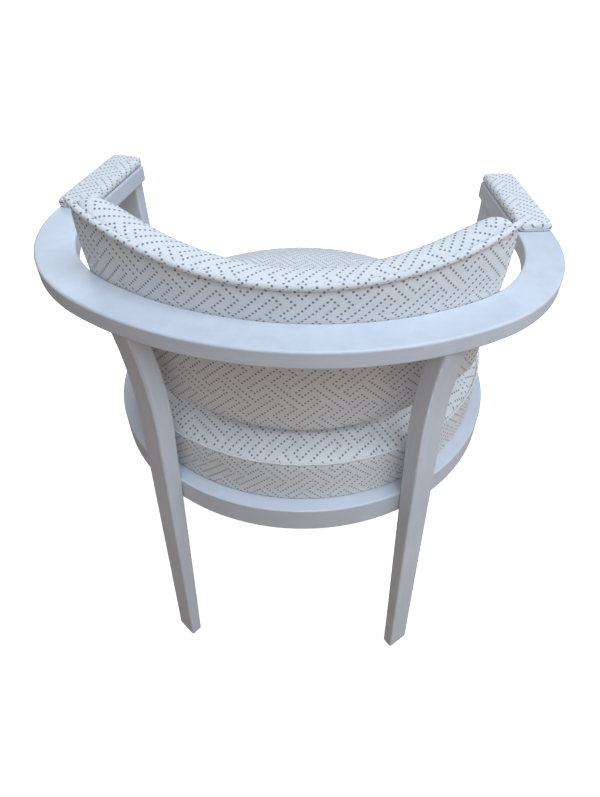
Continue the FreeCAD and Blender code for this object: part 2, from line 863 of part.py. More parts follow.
def back_cushion():
    gap = size("soft_clearance")
    rear_trim = raked_band("PadRearTrim", size("back_bottom") - size("overrun"),
                           size("back_top") + tallest_rise + size("pad_crown"), -size("crest_width"),
                           size("outside_thick") + gap, QUARTER)
    hollow = raked_band("PadPocketBand", size("shell_bottom") - gap, size("shell_top") + gap + tallest_rise,
                        ZERO, size("outside_thick") + size("shell_thick") + gap, size("pocket_end_angle"))
    pocket = crescent("PadPocket", hollow, size("shell_bottom") - gap, size("shell_top") + gap)
    trimmed = cut("PadTrimmed", back_pad_loft(), rear_trim)
    return cut("BackCushion", trimmed, pocket)


# Arm pads
def arm_board(name, side):
    inset, end = size("arm_board_inset"), size("arm_board_inset") + size("arm_pad_end_inset")
    length = size("arm_length") - end - end
    board = block(name, size("crest_width") - inset - inset, length, size("arm_board_thick"))
    along = end + length if side == LEFT else end
    x, y = arm_point(side, size("side_radius") - size("crest_width") + inset, along)
    place(board, x, y, size("crest_top"), arm_bearing(side))
    return board


def arm_pad_section(body, name, station, draw_in):
    sketch = new_sketch(body, name, "XZ_Plane")
    sketch.AttachmentOffset = Placement(Vector(0, 0, station.number), Rotation())
    sketch.setExpression("AttachmentOffset.Base.z", station.text)
    inset = size("arm_pad_inset") + draw_in
    wide = size("crest_width") - inset
    top = size("arm_pad_side") - draw_in / 2
    nip = size("arm_pad_draw_in") / 2
    corners = [(inset, ZERO), (wide, ZERO), (wide - nip, top), (inset + nip, top)]
    width = wide - inset - nip - nip
    side_rise = nip / 2
    bows = {
        1: (bow_radius(top, side_rise), -1),
        2: (bow_radius(width, size("arm_pad_crown")), -1),
        3: (bow_radius(top, side_rise), -1),
    }
    outline(sketch, corners, bows)
    return sketch


def arm_pad(name, side, board):
    body = new_body(name + "Form")
    end, taper = size("arm_pad_end_inset"), size("arm_pad_end_length")
    far = size("arm_length") - end
    stations = [(end, size("arm_pad_draw_in")), (end + taper, ZERO), (far - taper, ZERO),
                (far, size("arm_pad_draw_in"))]
    sketches = [arm_pad_section(body, f"{name}Slice{index}", station, draw_in)
                for index, (station, draw_in) in enumerate(stations)]
    doc.recompute()
    loft = body.newObject("PartDesign::AdditiveLoft", name + "Loft")
    loft.Profile = sketches[0]
    loft.Sections = sketches[1:]
    loft.Ruled = True
    out, along = size("side_radius") - size("crest_width"), ZERO
    if side == RIGHT:
        along = size("arm_length")
    x, y = arm_point(side, out, along)
    place(body, x, y, size("crest_top"), arm_bearing(side))
    return cut(name + "Pad", body, board)


# Assembly
glides = foot_glides()
dowels_in_legs = leg_dowels()
dowels_in_crest = crest_dowels()
dowels_in_rail = rail_dowels()
screws_in_legs = leg_screws()
screws_in_seat = seat_screws()
screws_in_back = back_screws()
screws_in_arms = arm_screws()


def drilled(name, base, tools):
    for index, tool in enumerate(tools):
        base = cut(f"{name}Drilled{index}", base, tool)
    return base


def put_together():
    legs = {
        "rear_leg_left": rear_leg("RearLegLeft", LEFT),
        "rear_leg_right": rear_leg("RearLegRight", RIGHT),
        "front_leg_left": front_leg("FrontLegLeft", LEFT),
        "front_leg_right": front_leg("FrontLegRight", RIGHT),
    }
    pieces = {name: drilled(name, leg, [dowels_in_legs, screws_in_legs]) for name, leg in legs.items()}
    pieces["crest_back"] = drilled("CrestBack", crest_back(),
                                   [dowels_in_legs, dowels_in_crest, screws_in_back])
    for label, side in (("left", LEFT), ("right", RIGHT)):
        arm = crest_arm("CrestArm" + label.title(), side)
        pieces["crest_arm_" + label] = drilled("CrestArm" + label.title(), arm,
                                               [dowels_in_legs, dowels_in_crest, screws_in_arms])
    housed = {
        "seat_rail_left": (0, ["front_leg_left"]),
        "seat_rail_rear": (1, ["rear_leg_left", "rear_leg_right"]),
        "seat_rail_right": (2, ["front_leg_right"]),
        "seat_rail_front": (3, []),
    }
    for name, (quarter, leg_names) in housed.items():
        tools = [pieces[leg] for leg in leg_names] + [dowels_in_rail, screws_in_legs, screws_in_seat]
        pieces[name] = drilled(name, rail_segment(name, quarter), tools)
    board = cylinder("SeatBoard", board_radius, size("board_thick"))
    place(board, ZERO, seat_y, size("rail_top"))
    pieces["seat_board"] = drilled("SeatBoard", board, [screws_in_seat])
    pieces["seat_cushion"] = seat_cushion()
    cover = cylinder("DustCover", size("rail_radius") - size("dust_cover_setback"), size("dust_cover_thick"))
    pieces["dust_cover"] = place(cover, ZERO, seat_y, rail_bottom - size("dust_cover_thick"))
    pieces["back_shell"] = drilled("BackShell", back_shell(), [screws_in_back])
    pieces["back_welt"] = back_welt()
    pieces["outside_back"] = drilled("OutsideBack", outside_back(), [screws_in_back, pieces["back_welt"]])
    pieces["back_cushion"] = drilled("BackCushion", back_cushion(), [screws_in_back])
    for label, side in (("left", LEFT), ("right", RIGHT)):
        base = arm_board("ArmBoard" + label.title(), side)
        pieces["arm_board_" + label] = drilled("ArmBoard" + label.title(), base, [screws_in_arms])
        pieces["arm_pad_" + label] = arm_pad("ArmPad" + label.title(), side, base)
    pieces["crest_dowels"] = dowels_in_crest
    pieces["leg_dowels"] = dowels_in_legs
    pieces["seat_rail_dowels"] = dowels_in_rail
    pieces["leg_screws"] = screws_in_legs
    pieces["seat_screws"] = screws_in_seat
    pieces["back_screws"] = screws_in_back
    pieces["arm_screws"] = screws_in_arms
    pieces["foot_glides"] = glides
    return pieces


def check_and_write(pieces):
    doc.recompute()
    for obj in doc.Objects:
        if "Invalid" in obj.State or "Error" in obj.State:
            raise RuntimeError(f"{obj.Label} did not build: {obj.State}")
    for name, obj in pieces.items():
        obj.Label = name
        shape = obj.Shape
        if shape.isNull() or not shape.isValid() or not shape.Solids:
            raise RuntimeError(f"{name} has no sound solid")
        print(f"{name}: {len(shape.Solids)} solids, {shape.Volume / 1000:.1f} cm3")
    os.makedirs("parts", exist_ok=True)
    for name, obj in pieces.items():
        obj.Shape.exportStep(f"parts/{name}.step")


check_and_write(put_together())
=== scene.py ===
# %% [markdown]
# # A horseshoe-back accent chair
# The wooden frame of this chair comes from its CAD model and stays where it is. This lesson adds what
# the eye sees: satin paint on the wood, and the stuffed pieces with their fret-patterned cloth.

# %% Load the frame
import math

import bmesh
import bpy
from mathutils import Matrix, Vector, noise


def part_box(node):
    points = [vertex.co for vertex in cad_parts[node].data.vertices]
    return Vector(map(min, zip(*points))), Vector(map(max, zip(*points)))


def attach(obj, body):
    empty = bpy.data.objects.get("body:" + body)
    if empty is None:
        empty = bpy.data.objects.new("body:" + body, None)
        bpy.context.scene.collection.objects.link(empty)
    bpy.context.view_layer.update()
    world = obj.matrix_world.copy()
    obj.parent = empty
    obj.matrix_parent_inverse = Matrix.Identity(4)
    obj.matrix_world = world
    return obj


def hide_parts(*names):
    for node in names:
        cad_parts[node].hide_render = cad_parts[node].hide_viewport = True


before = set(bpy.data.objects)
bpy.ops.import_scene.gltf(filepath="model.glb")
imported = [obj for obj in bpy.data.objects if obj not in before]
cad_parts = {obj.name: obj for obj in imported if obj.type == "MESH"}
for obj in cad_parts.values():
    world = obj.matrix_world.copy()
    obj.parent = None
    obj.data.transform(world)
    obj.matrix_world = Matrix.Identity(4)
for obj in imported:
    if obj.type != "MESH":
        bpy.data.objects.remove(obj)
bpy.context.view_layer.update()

scene = bpy.context.scene

# %% [markdown]
# ## The camera
# The chair was seen from behind and above, with a phone held a little tilted. A camera could be placed by
# eye, but here its place, its tilt and its focal length were worked out from the edges of the crest rail,
# the seat rail and the legs, so the finished picture can be laid over the photograph.

# %% Camera
PHOTO_HEIGHT = 797
PHOTO_FOCAL = 583.1
PHOTO_AXIS_RIGHT = 23.46
PHOTO_AXIS_DOWN = 11.89
CAMERA_PLACE = Vector((-0.05223, 0.70872, 0.99128))
CAMERA_YAW = math.radians(1.524)
CAMERA_PITCH = math.radians(44.23)
CAMERA_ROLL = math.radians(2.137)
UP = Vector((0, 0, 1))


def add_camera():
    level = math.cos(CAMERA_PITCH)
    forward = Vector((math.sin(CAMERA_YAW) * level, -math.cos(CAMERA_YAW) * level, -math.sin(CAMERA_PITCH)))
    right = forward.cross(UP).normalized()
    above = right.cross(forward)
    tilted_right = right * math.cos(CAMERA_ROLL) + above * math.sin(CAMERA_ROLL)
    tilted_above = above * math.cos(CAMERA_ROLL) - right * math.sin(CAMERA_ROLL)
    data = bpy.data.cameras.new("photo_camera")
    data.lens = data.sensor_width * PHOTO_FOCAL / PHOTO_HEIGHT
    data.shift_x = -PHOTO_AXIS_RIGHT / PHOTO_HEIGHT
    data.shift_y = PHOTO_AXIS_DOWN / PHOTO_HEIGHT
    camera = bpy.data.objects.new("photo_camera", data)
    camera.matrix_world = Matrix((tilted_right, tilted_above, -forward)).transposed().to_4x4()
    camera.location = CAMERA_PLACE
    scene.collection.objects.link(camera)
    scene.camera = camera
    print("lens", round(data.lens, 2), "mm")


add_camera()

# %% [markdown]
# ## Floor and light
# The picture has cool light from above and from the viewer's right, and warm light that the floor sends back
# up, so upper faces look bluish and the shaded faces brown. Four area lamps and a weak sky do that. The floor
# returns warm light but is shown nearly white: a Light Path node adds a glow that only the camera sees.

# %% Floor
FLOOR_REACH = 14.0
FLOOR_COLOUR = (0.42, 0.31, 0.22, 1)
FLOOR_SHOWN = (0.93, 0.93, 0.93, 1)
FLOOR_GLOW = 0.80


def add_floor():
    shape = bmesh.new()
    bmesh.ops.create_grid(shape, x_segments=2, y_segments=2, size=FLOOR_REACH)
    mesh = bpy.data.meshes.new("floor")
    shape.to_mesh(mesh)
    shape.free()
    floor = bpy.data.objects.new("floor", mesh)
    scene.collection.objects.link(floor)
    finish = bpy.data.materials.new("pale_floor")
    finish.use_nodes = True
    nodes, links = finish.node_tree.nodes, finish.node_tree.links
    shader = nodes["Principled BSDF"]
    shader.inputs["Roughness"].default_value = 0.9
    shader.inputs["Specular IOR Level"].default_value = 0.0
    seen = nodes.new("ShaderNodeLightPath")
    colour = nodes.new("ShaderNodeMix")
    colour.data_type = "RGBA"
    colour.inputs[6].default_value = FLOOR_COLOUR
    colour.inputs[7].default_value = FLOOR_SHOWN
    links.new(seen.outputs["Is Camera Ray"], colour.inputs["Factor"])
    links.new(colour.outputs[2], shader.inputs["Base Color"])
    glow = nodes.new("ShaderNodeMath")
    glow.operation = "MULTIPLY"
    glow.inputs[1].default_value = FLOOR_GLOW
    links.new(seen.outputs["Is Camera Ray"], glow.inputs[0])
    shader.inputs["Emission Color"].default_value = (1, 1, 1, 1)
    links.new(glow.outputs[0], shader.inputs["Emission Strength"])
    side = nodes.new("ShaderNodeNewGeometry")
    clear = nodes.new("ShaderNodeMath")
    clear.operation = "SUBTRACT"
    clear.inputs[0].default_value = 1.0
    links.new(side.outputs["Backfacing"], clear.inputs[1])
    links.new(clear.outputs[0], shader.inputs["Alpha"])
    mesh.materials.append(finish)


add_floor()

# %% Sky and lamps
SKY_COLOUR = (1.0, 0.95, 0.97, 1)
SKY_STRENGTH = 0.21
SKY_SHOWN = 0.90
LAMP_AIM = Vector((0, 0, 0.5))
LAMPS = {
    "overhead": (Vector((-1.0, 0.85, 3.3)), 2.0, 72.0, (0.67, 0.84, 1.0)),
    "window": (Vector((-2.1, 0.9, 1.3)), 1.6, 11.0, (0.90, 0.93, 1.0)),
    "behind": (Vector((0.1, 2.2, 2.6)), 1.6, 13.0, (0.84, 0.91, 1.0)),
    "front": (Vector((0.8, -2.4, 2.4)), 1.8, 26.0, (0.80, 0.90, 1.0)),
}


def add_light():
    world = bpy.data.worlds.new("soft_sky")
    world.use_nodes = True
    nodes, links = world.node_tree.nodes, world.node_tree.links
    backdrop = nodes["Background"]
    backdrop.inputs["Color"].default_value = SKY_COLOUR
    seen = nodes.new("ShaderNodeLightPath")
    shown = nodes.new("ShaderNodeMapRange")
    shown.inputs["To Min"].default_value = SKY_STRENGTH
    shown.inputs["To Max"].default_value = SKY_SHOWN
    links.new(seen.outputs["Is Camera Ray"], shown.inputs["Value"])
    links.new(shown.outputs["Result"], backdrop.inputs["Strength"])
    scene.world = world
    scene.view_settings.view_transform = "Standard"
    for name, (place, width, power, colour) in LAMPS.items():
        data = bpy.data.lights.new(name, "AREA")
        data.size = width
        data.energy = power
        data.color = colour
        lamp = bpy.data.objects.new(name, data)
        lamp.location = place
        lamp.rotation_euler = (LAMP_AIM - place).to_track_quat("-Z", "Y").to_euler()
        scene.collection.objects.link(lamp)
    print(len(LAMPS), "lamps")


add_light()

# %% [markdown]
# ## A helper for shader nodes
# Materials are graphs. Placing each node and link by hand is long to read, so a small class adds a node,
# feeds its inputs with either a number or another node's output, and hands the result on.

# %% Shader graph helper
class Graph:
    """Adds nodes to one tree and links them."""

    def __init__(self, tree):
        self.tree = tree

    def add(self, kind, **settings):
        node = self.tree.nodes.new(kind)
        for name, value in settings.items():
            setattr(node, name, value)
        return node

    def feed(self, socket, value):
        if isinstance(value, bpy.types.NodeSocket):
            self.tree.links.new(value, socket)
        else:
            socket.default_value = value

    def math(self, operation, *values):
        node = self.add("ShaderNodeMath", operation=operation)
        for socket, value in zip(node.inputs, values):
            self.feed(socket, value)
        return node.outputs[0]

    def ramp(self, value, low, high, bottom=0.0, top=1.0):
        node = self.add("ShaderNodeMapRange", interpolation_type="SMOOTHSTEP")
        for label, given in zip(("Value", "From Min", "From Max", "To Min", "To Max"),
                                (value, low, high, bottom, top)):
            self.feed(node.inputs[label], given)
        return node.outputs["Result"]

    def mix(self, factor, first, second):
        node = self.add("ShaderNodeMix", data_type="RGBA")
        self.feed(node.inputs["Factor"], factor)
        self.feed(node.inputs[6], first)
        self.feed(node.inputs[7], second)
        return node.outputs[2]

    def noise(self, vector, scale, detail=2.0, rough=0.5):
        node = self.add("ShaderNodeTexNoise")
        self.feed(node.inputs["Vector"], vector)
        node.inputs["Scale"].default_value = scale
        node.inputs["Detail"].default_value = detail
        node.inputs["Roughness"].default_value = rough
        return node.outputs["Fac"]

    def place(self, group, **values):
        node = self.add("ShaderNodeGroup", node_tree=group)
        for label, value in values.items():
            self.feed(node.inputs[label], value)
        return node.outputs


def new_group(name, inputs, outputs):
    tree = bpy.data.node_groups.new(name, "ShaderNodeTree")
    for label, kind in inputs.items():
        tree.interface.new_socket(label, in_out="INPUT", socket_type=kind)
    for label, kind in outputs.items():
        tree.interface.new_socket(label, in_out="OUTPUT", socket_type=kind)
    graph = Graph(tree)
    return tree, graph, graph.add("NodeGroupInput").outputs, graph.add("NodeGroupOutput").inputs


NUMBER = "NodeSocketFloat"
VECTOR = "NodeSocketVector"

# %% [markdown]
# ## The fret pattern of the cloth
# The cloth carries a traditional fret of interlocking I shapes, drawn in small woven dots. An image could
# hold it, but a formula stays sharp at any distance. Dots sit on a lattice that runs along both diagonals.
# An I is 14 steps long: two flanges 10 steps wide and 2 deep, and a web 2 wide. The same I repeats 8 steps
# on along both diagonals, so a dot shows where its lattice place lies on the outline of one of two I shapes.

# %% Node groups for the fret
FRET_REPEAT = 8
FLANGE_OUTSIDE = 7
FLANGE_INSIDE = 5
FLANGE_END = 5
WEB_SIDE = 1
NEAR = 0.5


def outline_group():
    """Mask of the lattice places on an I's outline, from the distances to its middle."""
    tree, graph, given, result = new_group("i_outline", {"Across": NUMBER, "Along": NUMBER}, {"Mask": NUMBER})
    across, along = given["Across"], given["Along"]
    flange_middle = (FLANGE_OUTSIDE + FLANGE_INSIDE) / 2
    flange_half = (FLANGE_OUTSIDE - FLANGE_INSIDE) / 2
    wing_middle = (FLANGE_END + WEB_SIDE) / 2
    wing_half = (FLANGE_END - WEB_SIDE) / 2
    flange_outside = graph.math("MULTIPLY", graph.math("COMPARE", along, FLANGE_OUTSIDE, NEAR),
                                graph.math("LESS_THAN", across, FLANGE_END + NEAR))
    flange_end = graph.math("MULTIPLY", graph.math("COMPARE", across, FLANGE_END, NEAR),
                            graph.math("COMPARE", along, flange_middle, flange_half + NEAR))
    flange_inside = graph.math("MULTIPLY", graph.math("COMPARE", along, FLANGE_INSIDE, NEAR),
                               graph.math("COMPARE", across, wing_middle, wing_half + NEAR))
    web_side = graph.math("MULTIPLY", graph.math("COMPARE", across, WEB_SIDE, NEAR),
                          graph.math("LESS_THAN", along, FLANGE_INSIDE + NEAR))
    flange = graph.math("MAXIMUM", flange_outside, flange_end)
    web = graph.math("MAXIMUM", flange_inside, web_side)
    graph.feed(result["Mask"], graph.math("MAXIMUM", flange, web))
    return tree


def fret_group():
    """Mask of the woven dots, from cloth coordinates in metres."""
    tree, graph, given, result = new_group(
        "fret_dots", {"Cloth": VECTOR, "Step": NUMBER, "Dot": NUMBER, "Blur": NUMBER}, {"Mask": NUMBER})
    parts = graph.add("ShaderNodeSeparateXYZ")
    graph.feed(parts.inputs[0], given["Cloth"])
    pitch = graph.math("MULTIPLY", given["Step"], 2.0)
    rising = graph.math("DIVIDE", graph.math("ADD", parts.outputs["X"], parts.outputs["Y"]), pitch)
    falling = graph.math("DIVIDE", graph.math("SUBTRACT", parts.outputs["X"], parts.outputs["Y"]), pitch)
    folded, offsets = [], []
    for run in (rising, falling):
        place = graph.math("ROUND", run)
        offsets.append(graph.math("SUBTRACT", run, place))
        folded.append(graph.math("ABSOLUTE", graph.math("WRAP", place, FRET_REPEAT, -FRET_REPEAT)))
    opposite = [graph.math("SUBTRACT", FRET_REPEAT, fold) for fold in folded]
    outline = outline_group()
    here = graph.place(outline, Across=folded[0], Along=folded[1])["Mask"]
    there = graph.place(outline, Across=opposite[0], Along=opposite[1])["Mask"]
    squares = [graph.math("POWER", offset, 2.0) for offset in offsets]
    distance = graph.math("SQRT", graph.math("ADD", *squares))
    inner = graph.math("SUBTRACT", given["Dot"], given["Blur"])
    outer = graph.math("ADD", given["Dot"], given["Blur"])
    dot = graph.ramp(distance, inner, outer, 1.0, 0.0)
    graph.feed(result["Mask"], graph.math("MULTIPLY", dot, graph.math("MAXIMUM", here, there)))
    return tree


fret_dots = fret_group()

# %% [markdown]
# ## Yarns and brush marks
# Two more effects serve several finishes. Plain weave crosses round yarns over and under each other, which
# gives cloth its fine tooth. Brush marks are a noise drawn out along the grain, for painted and bare wood.

# %% Node groups for weave and brush marks
def weave_group():
    """Height of a plain weave, from cloth coordinates and the yarn's pitch in metres."""
    tree, graph, given, result = new_group(
        "plain_weave", {"Cloth": VECTOR, "Pitch": NUMBER}, {"Height": NUMBER})
    parts = graph.add("ShaderNodeSeparateXYZ")
    graph.feed(parts.inputs[0], given["Cloth"])
    runs = [graph.math("DIVIDE", parts.outputs[axis], given["Pitch"]) for axis in ("X", "Y")]
    turns = [graph.math("MULTIPLY", run, math.pi) for run in runs]
    yarns = [graph.math("ABSOLUTE", graph.math("SINE", turn)) for turn in turns]
    counts = [graph.math("FLOOR", run) for run in runs]
    over = graph.math("FLOORED_MODULO", graph.math("ADD", *counts), 2.0)
    under = graph.math("SUBTRACT", 1.0, over)
    crossings = [graph.math("MULTIPLY", yarn, share) for yarn, share in zip(yarns, (over, under))]
    graph.feed(result["Height"], graph.math("ADD", *crossings))
    return tree


def brush_group():
    """Streaks drawn out along the grain, and cloudy patches, from object coordinates."""
    tree, graph, given, result = new_group(
        "brush_marks", {"Place": VECTOR, "Stretch": VECTOR}, {"Streaks": NUMBER, "Clouds": NUMBER})
    drawn = graph.add("ShaderNodeVectorMath", operation="MULTIPLY")
    graph.feed(drawn.inputs[0], given["Place"])
    graph.feed(drawn.inputs[1], given["Stretch"])
    graph.feed(result["Streaks"], graph.noise(drawn.outputs[0], 1.0, 4.0, 0.6))
    graph.feed(result["Clouds"], graph.noise(given["Place"], 9.0, 2.0))
    return tree


plain_weave = weave_group()
brush_marks = brush_group()

# %% [markdown]
# ## Finishes
# Each finish keeps its Principled shader in the material and reads the groups for what varies: colour,
# roughness and bump. Cloth reads the piece's own UV map, laid out in metres, so that the fret follows
# the cover. Wood and the rest read Object coordinates.

# %% Cloth
FRET_STEP = 0.00346
DOT_RADIUS_SHARE = 0.255
DOT_BLUR_SHARE = 0.05
YARN_PITCH = 0.0009
YARN_DEPTH = 0.0002
DOT_DEPTH = 0.0004
PATCH_SCALE = 60.0
CLOTH_COLOUR = (0.87, 0.87, 0.87, 1)
CLOTH_SHADE = (0.79, 0.785, 0.78, 1)
DOT_COLOUR = (0.22, 0.22, 0.25, 1)


def new_finish(name):
    finish = bpy.data.materials.new(name)
    finish.use_nodes = True
    graph = Graph(finish.node_tree)
    return finish, graph, finish.node_tree.nodes["Principled BSDF"].inputs


def bump(graph, height, depth, strength=1.0, under=None):
    node = graph.add("ShaderNodeBump")
    node.inputs["Strength"].default_value = strength
    node.inputs["Distance"].default_value = depth
    graph.feed(node.inputs["Height"], height)
    if under is not None:
        graph.feed(node.inputs["Normal"], under)
    return node.outputs["Normal"]


def fret_cloth():
    finish, graph, shader = new_finish("fret_cloth")
    cloth = graph.add("ShaderNodeUVMap", uv_map="cloth").outputs["UV"]
    fret = graph.place(fret_dots, Cloth=cloth, Step=FRET_STEP, Dot=DOT_RADIUS_SHARE, Blur=DOT_BLUR_SHARE)
    dots = fret["Mask"]
    weave = graph.place(plain_weave, Cloth=cloth, Pitch=YARN_PITCH)["Height"]
    ground = graph.mix(graph.noise(cloth, PATCH_SCALE, 3.0), CLOTH_SHADE, CLOTH_COLOUR)
    worn_dots = graph.math("MULTIPLY", dots, graph.ramp(weave, -0.6, 0.7, 0.55, 1.0))
    graph.feed(shader["Base Color"], graph.mix(worn_dots, ground, DOT_COLOUR))
    graph.feed(shader["Roughness"], graph.ramp(weave, 0.0, 1.0, 0.95, 0.82))
    yarn = bump(graph, weave, YARN_DEPTH, 0.6)
    graph.feed(shader["Normal"], bump(graph, dots, DOT_DEPTH, 0.7, yarn))
    shader["Sheen Weight"].default_value = 0.15
    shader["Specular IOR Level"].default_value = 0.25
    return finish


cloth_finish = fret_cloth()

# %% Paint and the plain finishes
PAINT_COLOUR = (0.70, 0.725, 0.785, 1)
PAINT_SHADE = (0.645, 0.665, 0.725, 1)
BRUSH_UPRIGHT = (260.0, 260.0, 9.0)
BRUSH_LEVEL = (60.0, 60.0, 260.0)
PLY_GRAIN = (12.0, 300.0, 300.0)
BEECH_GRAIN = (300.0, 300.0, 20.0)
PAINT_DEPTH = 0.0002
GRAIN_DEPTH = 0.0003
PAINT_UNEVEN = 0.06
GRAIN_UNEVEN = 0.08


def wood_finish(name, light, dark, stretch, roughness, depth):
    finish, graph, shader = new_finish(name)
    place = graph.add("ShaderNodeTexCoord").outputs["Object"]
    marks = graph.place(brush_marks, Place=place, Stretch=stretch)
    tone = graph.math("MULTIPLY", marks["Streaks"], marks["Clouds"])
    graph.feed(shader["Base Color"], graph.mix(graph.ramp(tone, 0.1, 0.4), dark, light))
    graph.feed(shader["Roughness"],
               graph.ramp(marks["Streaks"], 0.3, 0.7, roughness - PAINT_UNEVEN, roughness + PAINT_UNEVEN))
    graph.feed(shader["Normal"], bump(graph, marks["Streaks"], depth, 0.5))
    return finish


def plain_finish(name, light, dark, scale, roughness, metallic=0.0):
    finish, graph, shader = new_finish(name)
    place = graph.add("ShaderNodeTexCoord").outputs["Object"]
    grain = graph.noise(place, scale, 3.0)
    graph.feed(shader["Base Color"], graph.mix(grain, dark, light))
    graph.feed(shader["Roughness"],
               graph.ramp(grain, 0.3, 0.7, roughness - GRAIN_UNEVEN, roughness + GRAIN_UNEVEN))
    graph.feed(shader["Normal"], bump(graph, grain, GRAIN_DEPTH, 0.4))
    shader["Metallic"].default_value = metallic
    return finish


finishes = {
    "paint_upright": wood_finish("paint_upright", PAINT_COLOUR, PAINT_SHADE,
                                 BRUSH_UPRIGHT, 0.42, PAINT_DEPTH),
    "paint_level": wood_finish("paint_level", PAINT_COLOUR, PAINT_SHADE,
                               BRUSH_LEVEL, 0.42, PAINT_DEPTH),
    "plywood": wood_finish("plywood", (0.66, 0.50, 0.32, 1), (0.50, 0.36, 0.22, 1),
                           PLY_GRAIN, 0.65, GRAIN_DEPTH),
    "beech": wood_finish("beech", (0.64, 0.46, 0.28, 1), (0.52, 0.35, 0.20, 1),
                         BEECH_GRAIN, 0.6, GRAIN_DEPTH),
    "zinc": plain_finish("zinc", (0.68, 0.68, 0.70, 1), (0.52, 0.52, 0.55, 1), 400.0, 0.35, 1.0),
    "glide_plastic": plain_finish("glide_plastic", (0.06, 0.06, 0.065, 1), (0.04, 0.04, 0.042, 1),
                                  500.0, 0.5),
    "dust_cloth": plain_finish("dust_cloth", (0.03, 0.03, 0.033, 1), (0.015, 0.015, 0.016, 1), 900.0, 0.95),
}
finish_of = {
    "paint_level": ["crest_back", "crest_arm_left", "crest_arm_right", "seat_rail_front", "seat_rail_rear",
                    "seat_rail_left", "seat_rail_right"],
    "paint_upright": ["rear_leg_left", "rear_leg_right", "front_leg_left", "front_leg_right"],
    "plywood": ["seat_board", "back_shell", "arm_board_left", "arm_board_right"],
    "beech": ["crest_dowels", "leg_dowels", "seat_rail_dowels"],
    "zinc": ["leg_screws", "seat_screws", "back_screws", "arm_screws"],
    "glide_plastic": ["foot_glides"],
    "dust_cloth": ["dust_cover"],
}
for finish_name, nodes in finish_of.items():
    for node in nodes:
        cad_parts[node].data.materials.clear()
        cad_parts[node].data.materials.append(finishes[finish_name])
print(len(finishes), "finishes on", sum(len(nodes) for nodes in finish_of.values()), "nodes")

# %% [markdown]
# ## How a padded piece is made
# The stuffed pieces are all lofts: a ring of points is extruded from one station to the next, and each new
# ring is moved to its own place. The extrude operator makes the faces, and the lengths along the ring and
# along the stations become the UV map, in metres, as if the cover had been cut from flat cloth.

# %% Loft, cloth simulation and finishing
SIM_FRAMES = 20
FILL_PRESSURE = 4.0
COVER_STIFFNESS = {
    "quality": 6, "mass": 0.3, "tension_stiffness": 18, "compression_stiffness": 18,
    "shear_stiffness": 8, "bending_stiffness": 1.5,
}


def lengths(points):
    """Running length along a line of points."""
    run = [0.0]
    for before, after in zip(points, points[1:]):
        run.append(run[-1] + (after - before).length)
    return run


def evenly(points, count):
    """The same line with evenly spaced points."""
    run = lengths(points)
    spaced, index = [], 0
    for step in range(count):
        wanted = run[-1] * step / (count - 1)
        while index < len(points) - 2 and run[index + 1] < wanted:
            index += 1
        span = run[index + 1] - run[index]
        share = (wanted - run[index]) / span if span else 0.0
        spaced.append(points[index].lerp(points[index + 1], share))
    return spaced


def loft(rings, along, around):
    """Closed rings joined in a row; along has each ring's cloth coordinate and around those of its points."""
    shape = bmesh.new()
    layer = shape.loops.layers.uv.new("cloth")
    count = len(rings[0])
    ring = [shape.verts.new(point) for point in rings[0]]
    edges = [shape.edges.new((ring[j], ring[(j + 1) % count])) for j in range(count)]
    address = {vert: (0, j) for j, vert in enumerate(ring)}
    for i, points in enumerate(rings[1:], start=1):
        made = bmesh.ops.extrude_edge_only(shape, edges=edges)["geom"]
        fresh = {item for item in made if isinstance(item, bmesh.types.BMVert)}
        ring = [next(e.other_vert(v) for e in v.link_edges if e.other_vert(v) in fresh) for v in ring]
        for j, (vert, point) in enumerate(zip(ring, points)):
            vert.co = point
            address[vert] = (i, j)
        edges = [shape.edges.get((ring[j], ring[(j + 1) % count])) for j in range(count)]
    for face in shape.faces:
        wraps = {address[vert][1] for vert in face.verts} == {0, count - 1}
        for loop in face.loops:
            i, j = address[loop.vert]
            loop[layer].uv = (along[i], around[i][count] if wraps and j == 0 else around[i][j])
    open_edges = [edge for edge in shape.edges if edge.is_boundary]
    bmesh.ops.holes_fill(shape, edges=open_edges, sides=0)
    bmesh.ops.recalc_face_normals(shape, faces=shape.faces)
    return shape


def settle_order(shape):
    """Sort edges and faces by their first points, because the extrude operator's own order varies by run."""
    shape.verts.index_update()
    count = len(shape.verts)

    def rank(part):
        number = 0
        for index in sorted(vert.index for vert in part.verts)[:3]:
            number = number * count + index
        return number

    shape.edges.sort(key=rank)
    shape.faces.sort(key=rank)


def make_piece(shape, name):
    settle_order(shape)
    mesh = bpy.data.meshes.new(name)
    shape.to_mesh(mesh)
    shape.free()
    mesh.materials.append(cloth_finish)
    piece = bpy.data.objects.new(name, mesh)
    scene.collection.objects.link(piece)
    return piece


